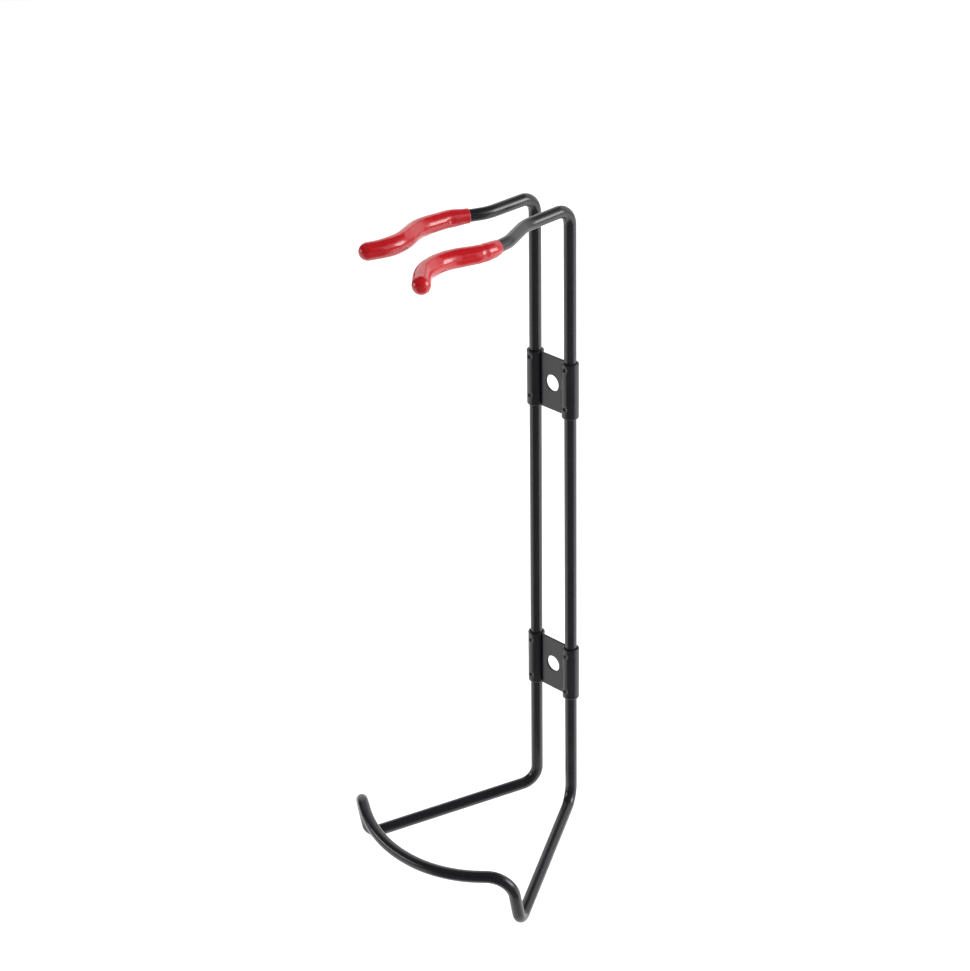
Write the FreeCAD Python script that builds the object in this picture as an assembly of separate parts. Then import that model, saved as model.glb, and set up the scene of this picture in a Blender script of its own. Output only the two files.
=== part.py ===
import FreeCAD, Part
import math
import os

# Bicycle wall rack: one bent steel rod, two rolled sheet brackets and two dipped sleeve grips.
#
# Millimetres. X runs along the wall, -Y away from it and Z up. The origin is midway between the
# two screw holes, in the middle of the sheet, so Y = 0 is also the plane of the uprights' centre
# lines. The wall is one roll radius behind it. The rack is its own mirror image in X = 0, except
# that the right grip sits further out on its arm than the left one.

os.makedirs("parts", exist_ok=True)

# ---------------------------------------------------------------- driving dimensions

ROD_RADIUS = 4.3
ROD_END_RUN = 5.0

# Brackets: a plate between two rolls that wrap the uprights.
SHEET = 1.6
ROLL_CLEARANCE = 0.1
ROLL_BORE = ROD_RADIUS + ROLL_CLEARANCE
ROLL_RADIUS = ROLL_BORE + SHEET
ROLL_EDGE_ROUND = 0.6
BRACKET_HEIGHT = 40.7
SCREW_SPACING = 222.0
SCREW_HOLE_RADIUS = 6.0
SEAM_GAP = 0.6
CRIMP_FROM_END = 5.9
CRIMP_BALL = 2.0
CRIMP_DEPTH = 1.0
UPPER_CRIMP_RISE = 1.8
LOWER_CRIMP_RISE = 0.3

# Uprights: their centre lines part slightly downwards.
TOP_Z = 242.5
FOOT_Z = -218.0
TOP_HALF_GAP = 16.0
FOOT_HALF_GAP = 17.3
TOP_BEND = 12.0
FOOT_BEND = 14.0

# Arms: level, and waved sideways. Each corner is (half gap, reach from the uprights' plane).
JOG_CORNER = (16.7, 43.0)
POCKET_BACK_CORNER = (27.7, 68.0)
POCKET_FRONT_CORNER = (30.8, 92.0)
NECK_ARC_START = (24.0, 108.2)
JOG_BEND = 32.0
POCKET_BACK_BEND = 24.0
NECK_BEND = 36.7
ROD_NECK_TURN = math.radians(44.0)
SLEEVE_NECK_TURN = math.radians(66.0)

# Lower loop: two splayed arms, two risers and a bow across the front.
CORNER_HALF_WIDTH = 77.0
CORNER_REACH = 114.0
CORNER_DROP = 20.4
RISER_HEIGHT = 42.0
RISER_LEAN = 8.4
BOW_HALF_WIDTH = 32.4
BOW_REACH = 150.0
BOW_RISE = 14.6
CORNER_BEND = 9.0
RISER_BEND = 17.0
BOW_BEND = 108.0

# Grips: sleeves with a closed round end, fattest where the neck begins.
GRIP_MOUTH_RADIUS = 5.2
GRIP_BODY_RADIUS = 6.7
LEFT_TIP_RADIUS = 6.1
RIGHT_TIP_RADIUS = 6.3
LEFT_MOUTH_REACH = 55.3
RIGHT_MOUTH_REACH = 80.3
LEFT_TAIL = 5.5
RIGHT_TAIL = 10.0


# ---------------------------------------------------------------- paths

def rounded_path(corners):
    """Straight runs and tangent arcs through the corners, each one (point, bend radius)."""
    edges = []
    last = corners[0][0]
    for before, (point, radius), after in zip(corners, corners[1:], corners[2:]):
        back = (before[0] - point).normalize()
        ahead = (after[0] - point).normalize()
        half_turn = (math.pi - back.getAngle(ahead)) / 2
        cut = radius * math.tan(half_turn)
        inward = (back + ahead).normalize()
        middle = point + inward * (radius / math.cos(half_turn) - radius)
        start = point + back * cut
        end = point + ahead * cut
        edges.append(Part.LineSegment(last, start).toShape())
        edges.append(Part.Arc(start, middle, end).toShape())
        last = end
    edges.append(Part.LineSegment(last, corners[-1][0]).toShape())
    return edges


def arm_point(half_gap, reach):
    return FreeCAD.Vector(half_gap, -reach, TOP_Z)


def neck(turn, tail):
    """The neck bend and the end after it: the same arc whatever its turn."""
    start = arm_point(*NECK_ARC_START)
    heading = (start - arm_point(*POCKET_FRONT_CORNER)).normalize()
    cut = NECK_BEND * math.tan(turn / 2)
    corner = start + heading * cut
    angle = math.atan2(heading.x, -heading.y) + turn
    outward = FreeCAD.Vector(math.sin(angle), -math.cos(angle), 0)
    return [(corner, NECK_BEND), (corner + outward * (cut + tail), 0)]


def arm_corners(turn, tail):
    """The right arm's corners from its upright to its end."""
    return [
        (arm_point(*JOG_CORNER), JOG_BEND),
        (arm_point(*POCKET_BACK_CORNER), POCKET_BACK_BEND),
        (arm_point(*POCKET_FRONT_CORNER), NECK_BEND),
    ] + neck(turn, tail)


def right_half():
    """Corners of the right half of the rod, from the arm's end to the front bow."""
    top = FreeCAD.Vector(TOP_HALF_GAP, 0, TOP_Z)
    foot = FreeCAD.Vector(FOOT_HALF_GAP, 0, FOOT_Z)
    corner = FreeCAD.Vector(CORNER_HALF_WIDTH, -CORNER_REACH, FOOT_Z - CORNER_DROP)
    peak = corner + FreeCAD.Vector(0, -RISER_LEAN, RISER_HEIGHT)
    bow = FreeCAD.Vector(BOW_HALF_WIDTH, -BOW_REACH, FOOT_Z + BOW_RISE)
    return arm_corners(ROD_NECK_TURN, ROD_END_RUN)[::-1] + [
        (top, TOP_BEND),
        (foot, FOOT_BEND),
        (corner, CORNER_BEND),
        (peak, RISER_BEND),
        (bow, BOW_BEND),
    ]


def mirrored(corners):
    return [(FreeCAD.Vector(-p.x, p.y, p.z), radius) for p, radius in corners]


# ---------------------------------------------------------------- solids

def ring(radius, edge, parameter):
    """A circle around an edge, square to it."""
    centre = edge.valueAt(parameter)
    return Part.Wire(Part.makeCircle(radius, centre, edge.tangentAt(parameter)))


def bar(edges, radius):
    """A round bar along straight runs and arcs: a cylinder or a bend for each edge."""
    pieces = []
    for edge in edges:
        face = Part.Face(ring(radius, edge, edge.FirstParameter))
        if isinstance(edge.Curve, Part.Circle):
            turn = math.degrees(edge.LastParameter - edge.FirstParameter)
            pieces.append(face.revolve(edge.Curve.Center, edge.Curve.Axis, turn))
        else:
            pieces.append(face.extrude(edge.tangentAt(edge.FirstParameter) * edge.Length))
    return pieces[0].multiFuse(pieces[1:]).removeSplitter()


def rod_frame():
    half = right_half()
    return bar(rounded_path(half + mirrored(half)[::-1]), ROD_RADIUS)


def upright_half_gap(z):
    return TOP_HALF_GAP + (FOOT_HALF_GAP - TOP_HALF_GAP) * (TOP_Z - z) / (TOP_Z - FOOT_Z)


def roll(x, base_z):
    """One rolled end, solid, with its end edges eased."""
    cylinder = Part.makeCylinder(ROLL_RADIUS, BRACKET_HEIGHT, FreeCAD.Vector(x, 0, base_z))
    rims = [edge for edge in cylinder.Edges if isinstance(edge.Curve, Part.Circle)]
    return cylinder.makeFillet(ROLL_EDGE_ROUND, rims)


def bracket(z, crimp_rise):
    """Plate and two rolls, less the rod bores, the seams, the crimps and the screw hole."""
    half_gap = upright_half_gap(z)
    base_z = z - BRACKET_HEIGHT / 2
    plate_front = -SHEET / 2
    plate = Part.makeBox(
        2 * half_gap, SHEET, BRACKET_HEIGHT, FreeCAD.Vector(-half_gap, plate_front, base_z))
    body = plate.multiFuse([roll(-half_gap, base_z), roll(half_gap, base_z)])
    toward_wall = FreeCAD.Vector(0, 1, 0)
    cuts = [Part.makeCylinder(
        SCREW_HOLE_RADIUS, SHEET, FreeCAD.Vector(0, plate_front, z), toward_wall)]
    for side in (-1, 1):
        x = side * half_gap
        cuts.append(Part.makeCylinder(ROLL_BORE, BRACKET_HEIGHT, FreeCAD.Vector(x, 0, base_z)))
        seam_x = min(x, x - side * ROLL_RADIUS)
        cuts.append(Part.makeBox(
            ROLL_RADIUS, SEAM_GAP, BRACKET_HEIGHT,
            FreeCAD.Vector(seam_x, plate_front - SEAM_GAP, base_z)))
        for end in (-1, 1):
            crimp_y = CRIMP_DEPTH - ROLL_RADIUS - CRIMP_BALL
            crimp_z = z + crimp_rise + end * (BRACKET_HEIGHT / 2 - CRIMP_FROM_END)
            cuts.append(Part.makeSphere(CRIMP_BALL, FreeCAD.Vector(x, crimp_y, crimp_z)))
    return body.cut(cuts).removeSplitter()


def mouth_on(corners, reach):
    """The corners beyond a sleeve's mouth, which is on a straight run at the given reach."""
    points = [point for point, radius in corners]
    first = next(i for i, point in enumerate(points) if -point.y > reach)
    share = (points[first - 1].y + reach) / (points[first - 1].y - points[first].y)
    mouth = points[first - 1] + (points[first] - points[first - 1]) * share
    return [(mouth, 0)] + corners[first:]


def sleeve(corners, tip_radius):
    """A solid sleeve along the corners: narrow mouth, fat body and round closed end."""
    edges = rounded_path(corners)
    neck_arc = edges[-2]
    mouth = ring(GRIP_MOUTH_RADIUS, edges[0], edges[0].FirstParameter)
    body = ring(GRIP_BODY_RADIUS, neck_arc, neck_arc.FirstParameter)
    tip = ring(tip_radius, edges[-1], edges[-1].LastParameter)
    tube = Part.Wire(edges).makePipeShell([mouth, body, tip], True, False)
    return tube.fuse(Part.makeSphere(tip_radius, corners[-1][0]))


rod = rod_frame()
right_line = mouth_on(arm_corners(SLEEVE_NECK_TURN, RIGHT_TAIL), RIGHT_MOUTH_REACH)
left_line = mouth_on(arm_corners(ROD_NECK_TURN, LEFT_TAIL), LEFT_MOUTH_REACH)
right_sleeve = sleeve(right_line, RIGHT_TIP_RADIUS)
left_sleeve = sleeve(left_line, LEFT_TIP_RADIUS)
left_sleeve = left_sleeve.mirror(FreeCAD.Vector(0, 0, 0), FreeCAD.Vector(1, 0, 0))
parts = {
    "rod_frame": rod,
    "left_grip": left_sleeve.cut(rod),
    "right_grip": right_sleeve.cut(rod),
    "upper_bracket": bracket(SCREW_SPACING / 2, UPPER_CRIMP_RISE),
    "lower_bracket": bracket(-SCREW_SPACING / 2, LOWER_CRIMP_RISE),
}
for name, shape in parts.items():
    solid = shape.Solids[0]
    print(name, "solids", len(shape.Solids), "valid", solid.isValid(), "mm3", round(solid.Volume))
    solid.exportStep("parts/" + name + ".step")
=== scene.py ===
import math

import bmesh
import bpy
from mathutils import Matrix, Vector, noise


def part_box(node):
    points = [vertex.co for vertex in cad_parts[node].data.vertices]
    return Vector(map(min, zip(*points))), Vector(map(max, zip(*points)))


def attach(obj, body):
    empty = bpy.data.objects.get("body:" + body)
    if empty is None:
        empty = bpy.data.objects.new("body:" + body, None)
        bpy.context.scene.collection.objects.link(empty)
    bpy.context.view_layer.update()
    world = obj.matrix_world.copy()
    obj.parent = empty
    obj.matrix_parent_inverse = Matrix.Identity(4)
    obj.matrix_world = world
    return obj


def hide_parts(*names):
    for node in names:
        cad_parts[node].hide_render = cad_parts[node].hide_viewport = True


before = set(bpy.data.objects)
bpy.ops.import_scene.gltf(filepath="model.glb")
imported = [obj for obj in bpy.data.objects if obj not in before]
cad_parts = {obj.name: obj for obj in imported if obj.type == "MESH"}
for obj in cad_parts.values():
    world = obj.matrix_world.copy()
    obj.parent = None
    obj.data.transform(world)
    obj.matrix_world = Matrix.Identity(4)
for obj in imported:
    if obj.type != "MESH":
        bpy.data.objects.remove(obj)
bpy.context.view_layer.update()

# %% [markdown]
# # A bicycle wall rack
#
# The rack is a wire form: one steel rod, bent cold into two waved arms, two uprights and a wheel
# loop with a bow across its front. Two small sheet brackets are rolled round the uprights and
# carry the wall screws, and a red dipped sleeve covers each arm.
#
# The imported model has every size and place, but its round parts are cut into flats. They could be
# subdivided, yet that only softens the flats. So each piece is swept again here along its own
# bends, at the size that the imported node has, and stands for that node.

MM = 0.001

for node in sorted(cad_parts):
    low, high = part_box(node)
    print(node, "mm:", [round(side / MM, 1) for side in high - low])

# %% [markdown]
# ## The rod's path
#
# A wire bender knows a rod as straight runs and the bends between them. The path here is the same:
# a list of corners, each with the radius that it is bent to. A bezier curve could pass near the
# corners, but its bends would not be true arcs, and a bent wire is recognised by them. Each corner
# becomes an arc of many short steps, and a run between arcs needs only its two ends.
#
# Lengths are in millimetres. The rack is its own mirror image from left to right, so only the
# right half is listed, from the arm's end to the front bow.

# %% Corners of the arms
TOP_Z = 242.5
TOP_HALF_GAP = 16.0

NECK_START = (24.0, 108.2)
NECK_BEND = 36.7
# Each is ((half gap, reach from the uprights), bend radius).
WAVE = [
    ((16.7, 43.0), 32.0),
    ((27.7, 68.0), 24.0),
    ((30.8, 92.0), NECK_BEND),
]
ROD_TURN = math.radians(44)
ROD_TAIL = 5.0
SLEEVE_TURN = math.radians(66)


def arm_point(half_gap, reach):
    return Vector((half_gap, -reach, TOP_Z))


def arm_corners(turn, tail):
    """The waved arm from its first bend to its end. All arms share the neck's arc."""
    corners = [(arm_point(*place), bend) for place, bend in WAVE]
    start = arm_point(*NECK_START)
    heading = (start - corners[-1][0]).normalized()
    cut = NECK_BEND * math.tan(turn / 2)
    corner = start + heading * cut
    outward = Matrix.Rotation(turn, 3, "Z") @ heading
    return corners + [(corner, NECK_BEND), (corner + outward * (cut + tail), 0)]


rod_arm = arm_corners(ROD_TURN, ROD_TAIL)
print("rod arm corners:", len(rod_arm), "reach mm:", round(-rod_arm[-1][0].y, 1))

# %% Corners of the wheel loop
FOOT_Z = -218.0
FOOT_HALF_GAP = 17.3
TOP_BEND = 12.0
FOOT_BEND = 14.0

SPLAY_HALF_WIDTH = 77.0
SPLAY_REACH = 114.0
SPLAY_DROP = 20.4
SPLAY_BEND = 9.0
RISER_HEIGHT = 42.0
RISER_LEAN = 8.4
RISER_BEND = 17.0
BOW_HALF_WIDTH = 32.4
BOW_REACH = 150.0
BOW_RISE = 14.6
BOW_BEND = 108.0


def loop_corners():
    """From the top of an upright, down it, and round the wheel loop to the bow."""
    corner = Vector((SPLAY_HALF_WIDTH, -SPLAY_REACH, FOOT_Z - SPLAY_DROP))
    return [
        (Vector((TOP_HALF_GAP, 0, TOP_Z)), TOP_BEND),
        (Vector((FOOT_HALF_GAP, 0, FOOT_Z)), FOOT_BEND),
        (corner, SPLAY_BEND),
        (corner + Vector((0, -RISER_LEAN, RISER_HEIGHT)), RISER_BEND),
        (Vector((BOW_HALF_WIDTH, -BOW_REACH, FOOT_Z + BOW_RISE)), BOW_BEND),
    ]


def mirrored(corners):
    return [(Vector((-p.x, p.y, p.z)), bend) for p, bend in corners]


right_half = rod_arm[::-1] + loop_corners()
rod_corners = right_half + mirrored(right_half)[::-1]
print("rod corners:", len(rod_corners))

# %% [markdown]
# ## From corners to a line of points
#
# At a corner the arc touches both runs. Its cut along each run is the radius times the tangent of
# half the turn, and its centre is on the line that halves the angle. Long runs get points too, a
# few millimetres apart, because the surface will be worked a little along them later.

# %% Rounding the corners
ROD_STEP = 2.5
ROD_ARC_STEP = math.radians(3)


def rounded(corners, step, arc_step):
    """Points along runs and true arcs, in millimetres."""
    points = [corners[0][0].copy()]

    def run_to(end):
        start = points[-1].copy()
        count = max(1, round((end - start).length / step))
        points.extend(start.lerp(end, i / count) for i in range(1, count + 1))

    for (before, _), (corner, bend), (after, _) in zip(corners, corners[1:], corners[2:]):
        back = (before - corner).normalized()
        ahead = (after - corner).normalized()
        turn = math.pi - back.angle(ahead)
        cut = bend * math.tan(turn / 2)
        centre = corner + (back + ahead).normalized() * (bend / math.cos(turn / 2))
        run_to(corner + back * cut)
        spoke = points[-1] - centre
        axis = spoke.cross(-back).normalized()
        count = max(4, round(turn / arc_step))
        for i in range(1, count + 1):
            points.append(centre + Matrix.Rotation(turn * i / count, 3, axis) @ spoke)
    run_to(corners[-1][0])
    return points


def length_of(points):
    return sum((b - a).length for a, b in zip(points, points[1:]))


rod_line = rounded(rod_corners, ROD_STEP, ROD_ARC_STEP)
print("rod points:", len(rod_line), "developed length mm:", round(length_of(rod_line), 1))

# %% [markdown]
# ## A skin round a line
#
# Rod and sleeves are both rings of vertices threaded on a line. Each ring has to stay square to the
# line without spinning round it, so the ring's own axes are carried from point to point, turned only
# as much as the line turns. A curve object with a bevel does this too, but here every ring can have
# its own radius, and the sleeve's skin can turn back into its bore, which a bevel can't.

# %% Axes along a line
def directions(points):
    """The line's direction at each point."""
    ends = [points[0]] + points + [points[-1]]
    return [(b - a).normalized() for a, b in zip(ends, ends[2:])]


def axes_along(points):
    """Two axes square to the line at each point, carried along without twist."""
    along = directions(points)
    side = along[0].orthogonal().normalized()
    axes = []
    for before, here in zip([along[0]] + along, along):
        side = before.rotation_difference(here) @ side
        side = (side - here * side.dot(here)).normalized()
        axes.append((side, here.cross(side)))
    return axes


rod_axes = axes_along(rod_line)
print("rings on the rod:", len(rod_axes))


# %% A skin over rings
def to_object(name, mesh):
    data = bpy.data.meshes.new(name)
    mesh.to_mesh(data)
    mesh.free()
    data.shade_smooth()
    piece = bpy.data.objects.new(name, data)
    bpy.context.scene.collection.objects.link(piece)
    print(name, "faces:", len(data.polygons))
    return piece


def skin(name, rings, sides):
    """A closed mesh over rings, each (centre, two axes, radius). Millimetres become metres here."""
    mesh = bmesh.new()
    loops = []
    for centre, (side, up), radius in rings:
        spokes = (math.tau * i / sides for i in range(sides))
        loops.append([
            mesh.verts.new((centre + (side * math.cos(a) + up * math.sin(a)) * radius) * MM)
            for a in spokes
        ])
    for one, two in zip(loops, loops[1:]):
        for i in range(sides):
            mesh.faces.new((one[i - 1], one[i], two[i], two[i - 1]))
    for loop, centre in ((loops[0][::-1], rings[0][0]), (loops[-1], rings[-1][0])):
        middle = mesh.verts.new(centre * MM)
        for i in range(sides):
            mesh.faces.new((loop[i - 1], loop[i], middle))
    bmesh.ops.recalc_face_normals(mesh, faces=mesh.faces)
    return to_object(name, mesh)


# %% [markdown]
# ## The rod
#
# The real rod is round bar, 8.6 mm thick over its coat, cut and bent cold and then coated all over.
# A bar bends without buckling, so it keeps its round section, and the ring radius is constant.

# %% The rod
ROD_RADIUS = 4.3
ROD_SIDES = 40

rod_rings = [(point, axes, ROD_RADIUS) for point, axes in zip(rod_line, rod_axes)]
rod = skin("bent_rod", rod_rings, ROD_SIDES)

# %% [markdown]
# ## The sleeves
#
# A grip like this is made by dipping a hot former, or the arm itself, in liquid PVC and baking what
# clings to it. So it is thin at the mouth, where it left the bath first, fattest along its body,
# where more of it hung, and never quite even. It is built as one skin: out from the bottom of the
# bore to the mouth, round the soft lip, along the outside, and over the round end. The lumps are
# real shape, so each outer vertex also moves a tenth of a millimetre or so by a slow noise. The bore
# stays true, because the arm fills it.
#
# The left sleeve is pushed home on its arm, and the right one sits further out, so each has its own
# mouth and length.

# %% A sleeve's line and girth
BORE_CLEARANCE = 0.03
BORE_RADIUS = ROD_RADIUS + BORE_CLEARANCE
print("bore radius mm:", BORE_RADIUS)


def from_mouth(corners, reach):
    """The corners past the mouth, which is on a straight run at this reach."""
    first = next(i for i, (place, _) in enumerate(corners) if -place.y > reach)
    before, after = corners[first - 1][0], corners[first][0]
    mouth = before.lerp(after, (before.y + reach) / (before.y - after.y))
    return [(mouth, 0)] + corners[first:]


def between(girths, far):
    """The sleeve's radius this far along it, eased between the stated girths."""
    for (start, thin), (end, thick) in zip(girths, girths[1:]):
        if far <= end:
            share = max(0.0, (far - start) / (end - start))
            return thin + (thick - thin) * (3 - 2 * share) * share ** 2
    return girths[-1][1]


# %% A sleeve's skin
GRIP_SIDES = 56
GRIP_STEP = 1.0
GRIP_ARC_STEP = math.radians(2)
LIP_ROUND = 0.4
LIP_DEGREES = range(-75, 90, 15)
END_DEGREES = range(6, 90, 6)


def sleeve(name, corners, girths, bore_length):
    """Girths are (distance from the mouth, radius), and the last one is the round end's."""
    line = rounded(corners, GRIP_STEP, GRIP_ARC_STEP)
    axes = axes_along(line)
    along = directions(line)
    travelled = [length_of(line[:i + 1]) for i in range(len(line))]
    inside = [i for i, far in enumerate(travelled) if LIP_ROUND < far < bore_length]
    rings = [(line[i], axes[i], BORE_RADIUS) for i in reversed(inside)]
    lip_middle = girths[0][1] - LIP_ROUND
    for degrees in LIP_DEGREES:
        angle = math.radians(degrees)
        spread = LIP_ROUND if degrees > 0 else lip_middle - BORE_RADIUS
        centre = line[0] + along[0] * LIP_ROUND * (1 - math.cos(angle))
        rings.append((centre, axes[0], lip_middle + spread * math.sin(angle)))
    outside_from = len(rings) * GRIP_SIDES
    rings += [
        (point, pair, between(girths, far))
        for point, pair, far in zip(line, axes, travelled) if far >= LIP_ROUND
    ]
    end_radius = girths[-1][1]
    for degrees in END_DEGREES:
        angle = math.radians(degrees)
        centre = line[-1] + along[-1] * end_radius * math.sin(angle)
        rings.append((centre, axes[-1], end_radius * math.cos(angle)))
    piece = skin(name, rings, GRIP_SIDES)
    print(name, "length mm:", round(travelled[-1] + end_radius, 1))
    return piece, outside_from


# %% Lumps
LUMP_WIDTH = 11.0
LUMP_HEIGHT = 0.16


def make_lumpy(piece, outside_from):
    """Move the vertices from this one on, which are the outer ones, in and out by a slow noise."""
    heights = []
    for vertex in list(piece.data.vertices)[outside_from:]:
        lump = noise.noise(vertex.co / (LUMP_WIDTH * MM))
        heights.append(lump * LUMP_HEIGHT)
        vertex.co += vertex.normal * heights[-1] * MM
    print(piece.name, "lumps mm:", round(min(heights), 2), "to", round(max(heights), 2))
    return piece


# %% [markdown]
# Each sleeve also carries one mark of its own: a dint in the left one, where something pressed the
# warm PVC, and a ring in the right one near its mouth, where it buckled as it was pushed on. The ring
# is only a change of girth, and both have a shallow press mark.

# %% Press marks
def press(piece, place, spread, depth):
    """Sink the surface near a place, all in millimetres."""
    middle = Vector(place)
    for vertex in piece.data.vertices:
        offset = vertex.co / MM - middle
        away = Vector(offset[axis] / spread[axis] for axis in range(3)).length
        if away < 1:
            vertex.co -= vertex.normal * depth * (1 - away ** 2) ** 2 * MM
    print(piece.name, "pressed mm:", depth)


# %% The left sleeve
LEFT_MOUTH = 55.3
LEFT_TAIL = 5.5
LEFT_BORE = 85.0
LEFT_GIRTHS = [(0, 5.1), (13, 5.95), (40, 6.5), (70, 6.5), (84, 6.1)]

left_corners = mirrored(from_mouth(arm_corners(ROD_TURN, LEFT_TAIL), LEFT_MOUTH))
left_sleeve = make_lumpy(*sleeve("left_sleeve", left_corners, LEFT_GIRTHS, LEFT_BORE))
press(left_sleeve, place=(-21.4, -71.0, 243.5), spread=(3.0, 4.2, 2.2), depth=0.8)

# %% The right sleeve
RIGHT_MOUTH = 80.3
RIGHT_TAIL = 10.0
RIGHT_BORE = 58.0
# The ring is the pinch between 12.2 and 15.4 mm from the mouth.
RIGHT_GIRTHS = [
    (0, 5.1), (6, 5.7), (12.2, 5.95), (13.6, 5.7), (15.4, 6.05), (32, 6.35), (58, 6.45), (78, 6.2),
]

right_corners = from_mouth(arm_corners(SLEEVE_TURN, RIGHT_TAIL), RIGHT_MOUTH)
right_sleeve = make_lumpy(*sleeve("right_sleeve", right_corners, RIGHT_GIRTHS, RIGHT_BORE))
press(right_sleeve, place=(35.2, -94.5, 243.5), spread=(3.0, 1.8, 3.2), depth=0.6)

# %% [markdown]
# ## The brackets: a flat blank first
#
# Each bracket starts as a flat blank of 1.6 mm steel sheet with one punched hole, and each end is
# then rolled round an upright like a hinge knuckle. The model is made in the same order. The blank is
# a flat grid, laid out in the distance along the sheet and the height, with a ring of faces round
# the hole. Bending it is then only a change of coordinates, and no boolean is needed, which would
# leave long thin faces that shade badly.
#
# Lines gather at every edge, because the edges are rounded over there, and the rolls get close
# lines because they curve and carry the crimps.

# %% The grid's lines
SHEET = 1.6
BRACKET_HEIGHT = 40.7
EDGE_ROUND = 0.7
# Distances from an edge as shares of its rounding, closest where it is steepest.
EDGE_ROWS = [0.0, 0.04, 0.14, 0.32, 0.57, 1.0]
PATCH_HALF = 9.0
GRID_STEP = 0.45


def spaced(start, end, spacing):
    """Evenly spaced places from the start, with the end itself left out."""
    count = max(1, round((end - start) / spacing))
    return [start + (end - start) * i / count for i in range(count)]


def lines_to_edge(edge):
    """Grid lines from the patch's border out to an edge."""
    rows = [edge - EDGE_ROUND * share for share in reversed(EDGE_ROWS)]
    return spaced(PATCH_HALF, rows[0], GRID_STEP) + rows


print("rows from the patch to an end:", len(lines_to_edge(BRACKET_HEIGHT / 2)))

# %% Laying out the blank
HOLE_RADIUS = 6.0
HOLE_ROUND = 0.1
PATCH_STEPS = 16
SPOKE_SHARES = (1 / 3, 2 / 3, 1)


def flat_blank(half_length):
    """The blank as a flat grid, with a square patch at its middle where faces ring the hole."""
    flat = bmesh.new()
    made = {}

    def corner(along, height):
        key = (round(along, 4), round(height, 4))
        if key not in made:
            made[key] = flat.verts.new((along, 0, height))
        return made[key]

    def grid(columns, rows):
        for c, d in zip(columns, columns[1:]):
            for r, s in zip(rows, rows[1:]):
                flat.faces.new([corner(c, r), corner(d, r), corner(d, s), corner(c, s)])

    angles = [math.pi / 4 * (2 * i / PATCH_STEPS - 1) for i in range(PATCH_STEPS + 1)]
    middle = [PATCH_HALF * math.tan(angle) for angle in angles]
    outer_columns = lines_to_edge(half_length)
    outer_rows = lines_to_edge(BRACKET_HEIGHT / 2)
    inner_columns = [-c for c in reversed(outer_columns)]
    lower_rows = [-r for r in reversed(outer_rows)]
    all_rows = lower_rows + middle[1:-1] + outer_rows
    grid(inner_columns, all_rows)
    grid(outer_columns, all_rows)
    grid(middle, lower_rows)
    grid(middle, outer_rows)

    def spoke(angle, quarter):
        """Points from the hole's rim out to the patch's border."""
        ray = Vector((math.cos(angle), math.sin(angle)))
        border = ray * (PATCH_HALF / ray.x)
        rim = [ray * (HOLE_RADIUS + HOLE_ROUND * share) for share in EDGE_ROWS]
        points = rim + [rim[-1].lerp(border, share) for share in SPOKE_SHARES]
        turn = Matrix.Rotation(math.pi / 2 * quarter, 2)
        return [corner(*(turn @ point)) for point in points]

    for quarter in range(4):
        spokes = [spoke(angle, quarter) for angle in angles]
        for one, two in zip(spokes, spokes[1:]):
            for a, b, c, d in zip(one, one[1:], two[1:], two):
                flat.faces.new((a, b, c, d))
    return flat


# %% [markdown]
# ## Bending the blank
#
# Seen from above, the sheet's middle line runs straight between the uprights, takes one short bend
# towards the wall, and then goes the other way, over the back, the outer side and the front of the
# upright. It stops just short of the plate's own front face, and that leaves the dark seam.
#
# One function turns a distance along the sheet into a place on that line and the way it faces.

# %% The bent line
ROLL_CLEARANCE = 0.1
ROLL_MIDDLE = ROD_RADIUS + ROLL_CLEARANCE + SHEET / 2
SHORT_BEND = 1.6
SEAM_ANGLE = math.radians(-171)

short_bend_from = math.sqrt(ROLL_MIDDLE ** 2 + 2 * ROLL_MIDDLE * SHORT_BEND)
short_turn = math.asin(short_bend_from / (ROLL_MIDDLE + SHORT_BEND))
roll_start = short_turn + math.pi / 2
print("short bend degrees:", round(math.degrees(short_turn), 1))


def sheet_lengths(half_gap):
    """Distances along the sheet at the start of the short bend, of the roll, and at the end."""
    flat = half_gap - short_bend_from
    roll = flat + SHORT_BEND * short_turn
    return flat, roll, roll + ROLL_MIDDLE * (roll_start - SEAM_ANGLE)


def on_sheet(distance, half_gap):
    """Place on the middle line, and the heading there, for the right half of a bracket."""
    flat, roll, _ = sheet_lengths(half_gap)
    if distance <= flat:
        return Vector((distance, 0)), 0.0
    if distance <= roll:
        turned = (distance - flat) / SHORT_BEND
        place = Vector((math.sin(turned), 1 - math.cos(turned))) * SHORT_BEND
        return place + Vector((flat, 0)), turned
    angle = roll_start - (distance - roll) / ROLL_MIDDLE
    place = Vector((math.cos(angle), math.sin(angle))) * ROLL_MIDDLE
    return place + Vector((half_gap, 0)), angle - math.pi / 2


# %% [markdown]
# ## Crimps, rounded edges and thickness
#
# Two punch marks on the front of each roll pin it to its upright. They are dents in the outer face
# only, since the rod is behind the inner one. A coated edge is never sharp: the sheared edge is
# tumbled, and then the powder draws round it as it melts.

# %% Crimps and edges
CRIMP_FROM_END = 5.9
CRIMP_RADIUS = 2.2
CRIMP_DEPTH = 1.3
# Above 1, the brim of the dent runs out smoothly into the roll.
CRIMP_EASE = 1.3


def half_thickness(edge_distance, edge_round):
    """Half the sheet's thickness this far from an edge that is rounded over."""
    inset = min(max(edge_round - edge_distance, 0.0), edge_round)
    return SHEET / 2 - edge_round + math.sqrt(edge_round ** 2 - inset ** 2)


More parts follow.
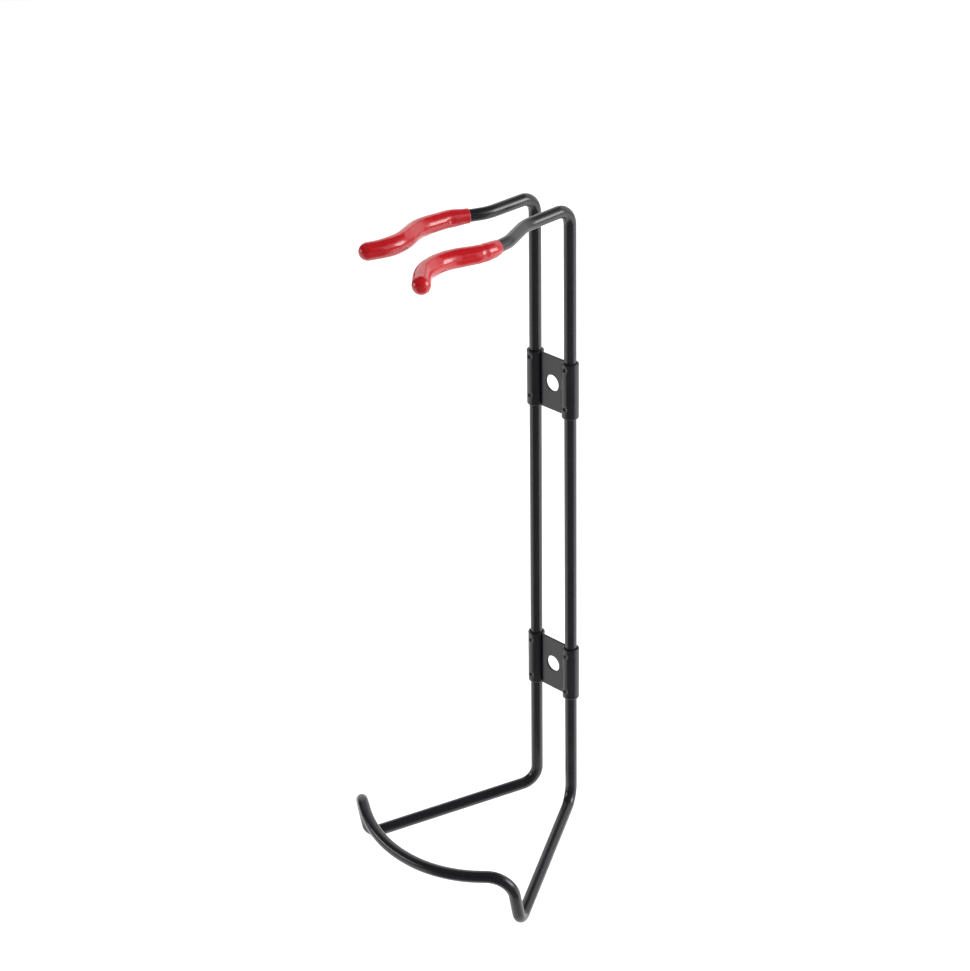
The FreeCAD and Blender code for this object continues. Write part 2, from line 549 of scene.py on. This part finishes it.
def crimp_depth(distance, height, half_gap, crimp_rise):
    """How deep the punch has pressed the roll's outer face at this place."""
    roll = sheet_lengths(half_gap)[1]
    front = roll + ROLL_MIDDLE * (roll_start + math.pi / 2)
    across = (distance - front) * (ROLL_MIDDLE + SHEET / 2) / ROLL_MIDDLE
    away = math.hypot(across, abs(height - crimp_rise) - (BRACKET_HEIGHT / 2 - CRIMP_FROM_END))
    if away >= CRIMP_RADIUS:
        return 0.0
    return CRIMP_DEPTH * (1 - (away / CRIMP_RADIUS) ** 2) ** CRIMP_EASE


print("thickness 0.1 mm from an end:", round(2 * half_thickness(0.1, EDGE_ROUND), 2))


# %% From blank to bracket
def bracket(name, z, crimp_rise):
    """A bracket at a height, its crimps moved up by their rise."""
    half_gap = TOP_HALF_GAP + (FOOT_HALF_GAP - TOP_HALF_GAP) * (TOP_Z - z) / (TOP_Z - FOOT_Z)
    half_length = sheet_lengths(half_gap)[2]
    flat = flat_blank(half_length)
    mesh = bmesh.new()

    def two_faces(vertex):
        along, _, height = vertex.co
        distance = abs(along)
        side = math.copysign(1, along)
        place, heading = on_sheet(distance, half_gap)
        front = Vector((math.sin(heading), -math.cos(heading)))
        to_edge = min(half_length - distance, BRACKET_HEIGHT / 2 - abs(height))
        to_hole = math.hypot(along, height) - HOLE_RADIUS
        half = min(half_thickness(to_edge, EDGE_ROUND), half_thickness(to_hole, HOLE_ROUND))
        depth = crimp_depth(distance, height, half_gap, crimp_rise)
        pair = []
        for reach in (half, depth - half):
            x, y = place + front * reach
            pair.append(mesh.verts.new(Vector((x * side, y, z + height)) * MM))
        return pair

    pairs = {vertex: two_faces(vertex) for vertex in flat.verts}
    for face in flat.faces:
        mesh.faces.new([pairs[v][0] for v in face.verts])
        mesh.faces.new([pairs[v][1] for v in reversed(face.verts)])
    for edge in flat.edges:
        if edge.is_boundary:
            a, b = (pairs[v] for v in edge.verts)
            mesh.faces.new((a[0], b[0], b[1], a[1]))
    flat.free()
    bmesh.ops.recalc_face_normals(mesh, faces=mesh.faces)
    print(name, "blank mm:", round(2 * half_length, 1), "by", BRACKET_HEIGHT)
    return to_object(name, mesh)


# %% Both brackets
SCREW_SPACING = 222.0
upper_sheet = bracket("upper_sheet", SCREW_SPACING / 2, crimp_rise=1.8)
lower_sheet = bracket("lower_sheet", -SCREW_SPACING / 2, crimp_rise=0.3)

# %% [markdown]
# ## Helpers for the materials
#
# A colour is given as an sRGB hex value, while a shader socket wants linear light, so one
# function turns the one into the other. Another adds any node with its settings and links. Two more
# start a material with no nodes, and turn the size of a pattern into a noise texture's scale.

# %% Colour
def linear(hex_colour):
    """A linear RGBA colour from an sRGB hex value."""
    channels = [int(hex_colour[i:i + 2], 16) / 255 for i in (1, 3, 5)]
    return [c / 12.92 if c <= 0.04045 else ((c + 0.055) / 1.055) ** 2.4 for c in channels] + [1.0]


print("half-way grey #808080 is", round(linear("#808080")[0], 3), "of white in linear light")


# %% Nodes
def add_node(tree, kind, inputs=None, **settings):
    """One node. An input is a value, or the output socket of an earlier node."""
    node = tree.nodes.new(kind)
    for name, value in settings.items():
        setattr(node, name, value)
    for socket, value in (inputs or {}).items():
        if isinstance(value, bpy.types.NodeSocket):
            tree.links.new(value, node.inputs[socket])
        else:
            node.inputs[socket].default_value = value
    return node


def empty_material(name):
    material = bpy.data.materials.new(name)
    material.use_nodes = True
    material.node_tree.nodes.clear()
    return material, material.node_tree


def per_metre(millimetres):
    """Noise scale for a pattern of this size, as object coordinates are in metres."""
    return 1000 / millimetres


print("noise scale for 2 mm:", per_metre(2.0))

# %% [markdown]
# ## Powder-coated steel
#
# The powder is sprayed on dry and melts in an oven. It flows out into a skin with a faint swell
# called orange peel, a millimetre or two across, and a much finer tooth that takes the sharpness
# out of reflections. That gives the eye a deep black body with soft grey streaks where light
# grazes it. Polyester has an IOR near 1.5 and is no metal, so metallic stays at zero although
# there is steel below.
#
# Rod and sheet are coated in different batches, and the sheet's finish is the duller of the two.
# A punch cuts only the first part of a hole's wall and tears the rest, and powder hardly gets in. So
# the wall inside a hole stays matt, and reads as a dark crescent.

# %% The torn wall of a hole
TORN_REACH = HOLE_RADIUS + HOLE_ROUND / 2
print("torn wall reaches mm:", TORN_REACH)


def hole_wall(tree, place):
    """1 on the torn wall inside either screw hole, and 0 elsewhere. Both holes have x = 0."""
    axis = add_node(tree, "ShaderNodeSeparateXYZ", {"Vector": place})
    height = add_node(tree, "ShaderNodeMath", {0: axis.outputs["Z"]}, operation="ABSOLUTE")
    rise = add_node(tree, "ShaderNodeMath", {
        0: height.outputs["Value"], 1: SCREW_SPACING / 2 * MM}, operation="SUBTRACT")
    spoke = add_node(tree, "ShaderNodeCombineXYZ", {
        "X": axis.outputs["X"], "Y": rise.outputs["Value"]})
    radius = add_node(tree, "ShaderNodeVectorMath", {0: spoke.outputs["Vector"]}, operation="LENGTH")
    inside = add_node(tree, "ShaderNodeMath", {
        0: radius.outputs["Value"], 1: TORN_REACH * MM}, operation="LESS_THAN")
    return inside.outputs["Value"]


# %% Powder coat
PEEL_WIDTH = 1.8
# The tooth is really some 0.05 mm across. It is drawn at 0.5 mm, the finest that can show.
TOOTH_WIDTH = 0.5
COAT_CLOUD_WIDTH = 24.0
TORN_ROUGHNESS = 0.8


def powder_coat(name, dark, pale, smooth, dull, peel):
    """Black polyester powder coat on steel: two shades, two roughnesses, height of the peel."""
    material, tree = empty_material(name)
    place = add_node(tree, "ShaderNodeTexCoord").outputs["Object"]
    swell = add_node(tree, "ShaderNodeTexNoise", {
        "Vector": place, "Scale": per_metre(PEEL_WIDTH), "Detail": 2.0, "Roughness": 0.5})
    tooth = add_node(tree, "ShaderNodeTexNoise", {
        "Vector": place, "Scale": per_metre(TOOTH_WIDTH), "Detail": 3.0, "Roughness": 0.6})
    cloud = add_node(tree, "ShaderNodeTexNoise", {
        "Vector": place, "Scale": per_metre(COAT_CLOUD_WIDTH), "Detail": 4.0, "Roughness": 0.55})
    shade = add_node(tree, "ShaderNodeMix", {
        "Factor": cloud.outputs["Fac"], 6: linear(dark), 7: linear(pale)}, data_type="RGBA")
    gloss = add_node(tree, "ShaderNodeMapRange", {
        "Value": cloud.outputs["Fac"], "From Min": 0.3, "From Max": 0.7,
        "To Min": smooth, "To Max": dull})
    torn = add_node(tree, "ShaderNodeMix", {
        0: hole_wall(tree, place), 2: gloss.outputs["Result"], 3: TORN_ROUGHNESS})
    coarse = add_node(tree, "ShaderNodeBump", {
        "Height": swell.outputs["Fac"], "Strength": peel, "Distance": 0.05 * MM})
    fine = add_node(tree, "ShaderNodeBump", {
        "Height": tooth.outputs["Fac"], "Strength": peel, "Distance": 0.01 * MM,
        "Normal": coarse.outputs["Normal"]})
    surface = add_node(tree, "ShaderNodeBsdfPrincipled", {
        "Base Color": shade.outputs[2], "Roughness": torn.outputs[0], "IOR": 1.5,
        "Normal": fine.outputs["Normal"]})
    add_node(tree, "ShaderNodeOutputMaterial", {"Surface": surface.outputs["BSDF"]})
    return material


rod_coat = powder_coat("rod_powder_coat", "#151417", "#1b1a1d", smooth=0.19, dull=0.28, peel=0.6)
sheet_coat = powder_coat("sheet_powder_coat", "#121114", "#18161a", smooth=0.25, dull=0.35, peel=0.7)
print("coats:", rod_coat.name, sheet_coat.name)

# %% [markdown]
# ## Dipped PVC
#
# Plastisol is PVC powder in a plasticiser, with red pigment through the whole of it. Baked, it is a
# rubbery skin with a wet gloss, and light goes a little way into it, so its shadows stay red and
# never go black. The gloss isn't perfect: there is a slow sag from the dripping, and handling leaves
# finer scuffs that blur the reflection in patches. The IOR of plasticised PVC is about 1.53.

# %% Dipped PVC
PIGMENT_CLOUD_WIDTH = 18.0
SAG_WIDTH = 7.0
SCUFF_WIDTH = 1.2


def dipped_pvc():
    """Red plastisol: a clouded red, a slow sag, and scuffs that blur its gloss."""
    material, tree = empty_material("dipped_red_pvc")
    place = add_node(tree, "ShaderNodeTexCoord").outputs["Object"]
    cloud = add_node(tree, "ShaderNodeTexNoise", {
        "Vector": place, "Scale": per_metre(PIGMENT_CLOUD_WIDTH), "Detail": 4.0, "Roughness": 0.55})
    sag = add_node(tree, "ShaderNodeTexNoise", {
        "Vector": place, "Scale": per_metre(SAG_WIDTH), "Detail": 1.5, "Roughness": 0.4})
    scuff = add_node(tree, "ShaderNodeTexNoise", {
        "Vector": place, "Scale": per_metre(SCUFF_WIDTH), "Detail": 4.0, "Roughness": 0.65})
    shade = add_node(tree, "ShaderNodeMix", {
        "Factor": cloud.outputs["Fac"], 6: linear("#8f0d15"), 7: linear("#a2121a")},
        data_type="RGBA")
    gloss = add_node(tree, "ShaderNodeMapRange", {
        "Value": scuff.outputs["Fac"], "From Min": 0.35, "From Max": 0.75,
        "To Min": 0.13, "To Max": 0.26})
    slow = add_node(tree, "ShaderNodeBump", {
        "Height": sag.outputs["Fac"], "Strength": 0.6, "Distance": 0.5 * MM})
    fine = add_node(tree, "ShaderNodeBump", {
        "Height": scuff.outputs["Fac"], "Strength": 0.4, "Distance": 0.03 * MM,
        "Normal": slow.outputs["Normal"]})
    surface = add_node(tree, "ShaderNodeBsdfPrincipled", {
        "Base Color": shade.outputs[2], "Roughness": gloss.outputs["Result"], "IOR": 1.53,
        "Subsurface Weight": 0.15, "Subsurface Radius": (1.0, 0.2, 0.1),
        "Subsurface Scale": 0.8 * MM, "Normal": fine.outputs["Normal"]})
    add_node(tree, "ShaderNodeOutputMaterial", {"Surface": surface.outputs["BSDF"]})
    return material


grip_pvc = dipped_pvc()
print("grip:", grip_pvc.name)

# %% [markdown]
# ## Dressing the pieces
#
# Each swept piece takes its finish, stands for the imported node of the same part, and rides on the
# one body that there is, because nothing on this rack moves.

# %% Finishes, slots and bodies
DRESS = [
    (rod, "rod_frame", rod_coat, "powder_coated_rod"),
    (upper_sheet, "upper_bracket", sheet_coat, "powder_coated_sheet"),
    (lower_sheet, "lower_bracket", sheet_coat, "powder_coated_sheet"),
    (left_sleeve, "left_grip", grip_pvc, "dipped_vinyl"),
    (right_sleeve, "right_grip", grip_pvc, "dipped_vinyl"),
]
for piece, node, finish, slot in DRESS:
    piece.data.materials.append(finish)
    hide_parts(node)
    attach(piece, "root")
    print(piece.name, "stands for", node)

# %% [markdown]
# ## Floor and light
#
# Black gloss has almost no colour of its own: what the eye reads is the room in it. A pale room on
# all sides would turn every rod to an even grey. So the light that fills the scene is kept out of
# the reflections. What a rod mirrors is the pale floor, three bright walls behind, a strong softbox
# high at the right and a wide low one at the front left. That leaves deep black bodies with soft
# grey streaks.
#
# The floor is board under matt white emulsion, put on with a roller. It has no gloss, only the
# roller's stipple.

# %% Floor
FLOOR_Z = -0.42
FLOOR_HALF = 9.0
FLOOR_CELLS = 24
# A roller's stipple is some 2 mm across. It is drawn at 6 mm, so that it can show.
STIPPLE_WIDTH = 6.0


def pale_floor():
    mesh = bmesh.new()
    bmesh.ops.create_grid(mesh, x_segments=FLOOR_CELLS, y_segments=FLOOR_CELLS, size=FLOOR_HALF)
    bmesh.ops.translate(mesh, verts=mesh.verts, vec=(0, 0, FLOOR_Z))
    return to_object("pale_floor", mesh)


def matt_paint():
    material, tree = empty_material("matt_white_paint")
    place = add_node(tree, "ShaderNodeTexCoord").outputs["Object"]
    stipple = add_node(tree, "ShaderNodeTexNoise", {
        "Vector": place, "Scale": per_metre(STIPPLE_WIDTH), "Detail": 3.0})
    bump = add_node(tree, "ShaderNodeBump", {
        "Height": stipple.outputs["Fac"], "Strength": 0.1, "Distance": 0.1 * MM})
    surface = add_node(tree, "ShaderNodeBsdfPrincipled", {
        "Base Color": linear("#f4f4f4"), "Roughness": 0.9, "Normal": bump.outputs["Normal"]})
    add_node(tree, "ShaderNodeOutputMaterial", {"Surface": surface.outputs["BSDF"]})
    return material


floor = pale_floor()
floor.data.materials.append(matt_paint())
print("floor at z:", FLOOR_Z)

# %% The room's even light
ROOM_STRENGTH = 0.35

scene = bpy.context.scene
scene.view_settings.view_transform = "Standard"

world = bpy.data.worlds.new("pale_room")
world.use_nodes = True
world.node_tree.nodes["Background"].inputs["Color"].default_value = linear("#ffffff")
world.node_tree.nodes["Background"].inputs["Strength"].default_value = ROOM_STRENGTH
world.cycles_visibility.glossy = False
scene.world = world
print("room strength:", ROOM_STRENGTH)


# %% Softboxes
def softbox(name, place, aim, size, radiance, mirrored_in_gloss):
    """A rectangular lamp. Its watts follow from its area and from how bright its face looks."""
    width, height = size
    lamp = bpy.data.lights.new(name, "AREA")
    lamp.shape = "RECTANGLE"
    lamp.size = width
    lamp.size_y = height
    lamp.energy = radiance * math.pi * width * height
    box = bpy.data.objects.new(name, lamp)
    box.location = place
    box.rotation_euler = (Vector(aim) - Vector(place)).to_track_quat("-Z", "Y").to_euler()
    box.visible_camera = False
    box.visible_glossy = mirrored_in_gloss
    scene.collection.objects.link(box)
    print(name, "watts:", round(lamp.energy))


softbox("overhead", place=(-0.5, 0.2, 2.4), aim=(-0.5, 0.2, FLOOR_Z), size=(5.0, 5.0),
        radiance=1.3, mirrored_in_gloss=False)
softbox("right_fill", place=(1.5, -0.5, 0.2), aim=(0, 0, 0), size=(1.4, 1.2),
        radiance=2.0, mirrored_in_gloss=False)
softbox("right_high", place=(1.8, 1.25, 0.82), aim=(0, 0, 0.22), size=(0.95, 1.15),
        radiance=9.0, mirrored_in_gloss=True)
softbox("left_front", place=(-1.57, -1.56, 0.41), aim=(0, -0.15, -0.2), size=(1.35, 0.42),
        radiance=6.5, mirrored_in_gloss=True)

# %% Bright walls behind
WALL_BEARINGS = (30, 90, 150)
WALL_AWAY = 2.8
WALL_SIZE = (3.0, 3.0)
WALL_RADIANCE = 1.3
# The walls hang clear of the floor, or each would leave a hard line on it.
WALL_GAP = 0.3

wall_z = FLOOR_Z + WALL_GAP + WALL_SIZE[1] / 2
for degrees in WALL_BEARINGS:
    angle = math.radians(degrees)
    place = (WALL_AWAY * math.cos(angle), WALL_AWAY * math.sin(angle), wall_z)
    softbox("back_wall_%d" % degrees, place, aim=(0, 0, wall_z), size=WALL_SIZE,
            radiance=WALL_RADIANCE, mirrored_in_gloss=True)

# %% [markdown]
# ## A charcoal card
#
# The uprights mirror only the floor, and the middle of each mirrors the part in front of the camera.
# A studio lays dark card there, so that a round black rod keeps a dark middle between two pale
# edges. The card here is seen in reflections only, and casts no shadow.

# %% Charcoal card
CARD_BEARING = math.radians(-44.4)
CARD_HALF_SPREAD = math.radians(58)
CARD_NEAR = 0.3
CARD_FAR = 2.6
CARD_LIFT = 0.004
CARD_STEPS = 24


def charcoal_card(middle, half_spread):
    """A flat ring sector just above the floor, spread evenly about a bearing."""
    mesh = bmesh.new()
    rows = []
    for i in range(CARD_STEPS + 1):
        angle = middle + half_spread * (2 * i / CARD_STEPS - 1)
        ray = Vector((math.cos(angle), math.sin(angle), 0))
        rows.append([
            mesh.verts.new(ray * reach + Vector((0, 0, FLOOR_Z + CARD_LIFT)))
            for reach in (CARD_NEAR, CARD_FAR)
        ])
    for one, two in zip(rows, rows[1:]):
        mesh.faces.new((one[0], one[1], two[1], two[0]))
    card = to_object("charcoal_card", mesh)
    card.visible_camera = False
    card.visible_diffuse = False
    card.visible_shadow = False
    return card


card = charcoal_card(CARD_BEARING, CARD_HALF_SPREAD)
print("card spread degrees:", round(math.degrees(2 * CARD_HALF_SPREAD)))

# %% Its paper
# Paper fibres are far below a millimetre. They are drawn as clumps of 4 mm.
FIBRE_WIDTH = 4.0


def charcoal_paper():
    material, tree = empty_material("charcoal_paper")
    place = add_node(tree, "ShaderNodeTexCoord").outputs["Object"]
    fibre = add_node(tree, "ShaderNodeTexNoise", {
        "Vector": place, "Scale": per_metre(FIBRE_WIDTH), "Detail": 3.0})
    bump = add_node(tree, "ShaderNodeBump", {
        "Height": fibre.outputs["Fac"], "Strength": 0.2, "Distance": 0.1 * MM})
    surface = add_node(tree, "ShaderNodeBsdfPrincipled", {
        "Base Color": linear("#505050"), "Roughness": 0.95, "Specular IOR Level": 0.1,
        "Normal": bump.outputs["Normal"]})
    add_node(tree, "ShaderNodeOutputMaterial", {"Surface": surface.outputs["BSDF"]})
    return material


card.data.materials.append(charcoal_paper())
print("card's paper:", card.data.materials[0].name)

# %% [markdown]
# ## Camera
#
# The rack is seen from in front, to its right and a little above, through a long lens, which keeps
# the two uprights nearly parallel.

# %% Camera
LENS = 100.0
SENSOR_WIDTH = 36.0
YAW = math.radians(45.645)
ELEVATION = math.radians(27.486)
ROLL = math.radians(-0.928)
DISTANCE = 1918.5
TARGET = Vector((-67.43, 0, 8.20))

swing = Matrix.Rotation(YAW, 3, "Z") @ Matrix.Rotation(math.pi / 2 - ELEVATION, 3, "X")
facing = swing @ Matrix.Rotation(ROLL, 3, "Z")
lens = bpy.data.cameras.new("camera")
lens.lens = LENS
lens.sensor_width = SENSOR_WIDTH
lens.sensor_fit = "HORIZONTAL"
camera = bpy.data.objects.new("camera", lens)
camera.matrix_world = Matrix.Translation((TARGET + facing.col[2] * DISTANCE) * MM) @ facing.to_4x4()
scene.collection.objects.link(camera)
scene.camera = camera
print("camera at:", [round(c, 3) for c in camera.location])
